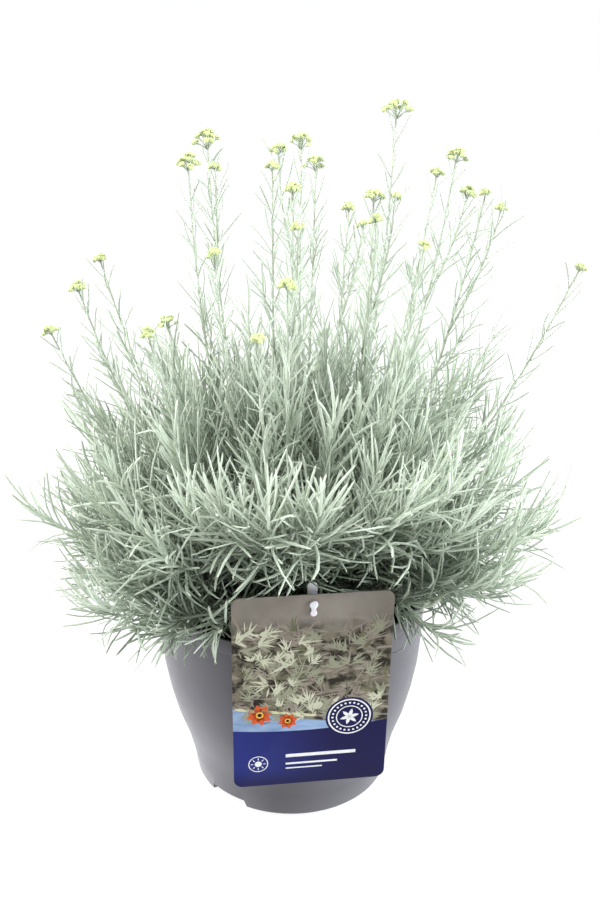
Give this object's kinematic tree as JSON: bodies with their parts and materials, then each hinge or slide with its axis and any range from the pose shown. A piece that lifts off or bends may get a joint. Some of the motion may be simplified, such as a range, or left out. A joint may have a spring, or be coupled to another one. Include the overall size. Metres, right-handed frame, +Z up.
{
  "type": "potted curry plant",
  "caption": "Silver-leaved herb with narrow felted leaves and small yellow flower heads in a round grey nursery pot with a printed label card on a stake.",
  "frame": {"origin": "middle of the pot's flat base, on the surface it stands on", "axes": "+Z up along the pot's axis; the label card hangs on the -Y side, turned a few degrees towards +X"},
  "size_m": [0.3778, 0.332, 0.472],
  "materials": {
    "pot_plastic": "matt grey recycled polypropylene",
    "compost": "dark crumbly peat and bark",
    "card": "printed thin plastic sheet, satin",
    "stake_plastic": "milky translucent plastic",
    "foliage": "silver-green felt of fine hairs",
    "flower": "dry papery yellow-green bracts"
  },
  "bodies": {
    "root": {"pot": "pot_plastic", "soil": "compost", "plant_label": "card", "label_stake": "stake_plastic", "branch_01": "foliage", "branch_02": "foliage", "branch_03": "foliage", "branch_04": "foliage", "branch_05": "foliage", "branch_06": "foliage", "branch_07": "foliage", "branch_08": "foliage", "branch_09": "foliage", "branch_10": "foliage", "branch_11": "foliage", "branch_12": "foliage", "branch_13": "foliage", "branch_14": "foliage", "branch_15": "foliage", "branch_16": "foliage", "branch_17": "foliage", "branch_18": "foliage", "branch_19": "foliage", "branch_20": "foliage", "branch_21": "foliage", "branch_22": "foliage", "branch_23": "foliage", "branch_24": "foliage", "branch_25": "foliage", "branch_26": "foliage", "flower_head_01a": "flower", "flower_head_01b": "flower", "flower_head_02a": "flower", "flower_head_03a": "flower", "flower_head_03b": "flower", "flower_head_04a": "flower", "flower_head_05a": "flower", "flower_head_06a": "flower", "flower_head_06b": "flower", "flower_head_07a": "flower", "flower_head_08a": "flower", "flower_head_09a": "flower", "flower_head_09b": "flower", "flower_head_10a": "flower", "flower_head_10b": "flower", "flower_head_11a": "flower", "flower_head_11b": "flower", "flower_head_11c": "flower", "flower_head_12a": "flower", "flower_head_12b": "flower", "flower_head_13a": "flower", "flower_head_14a": "flower", "flower_head_15a": "flower", "flower_head_16a": "flower", "flower_head_17a": "flower", "flower_head_18a": "flower", "flower_head_19a": "flower", "flower_head_20a": "flower", "flower_head_21a": "flower", "flower_head_22a": "flower"}
  },
  "joints": []
}
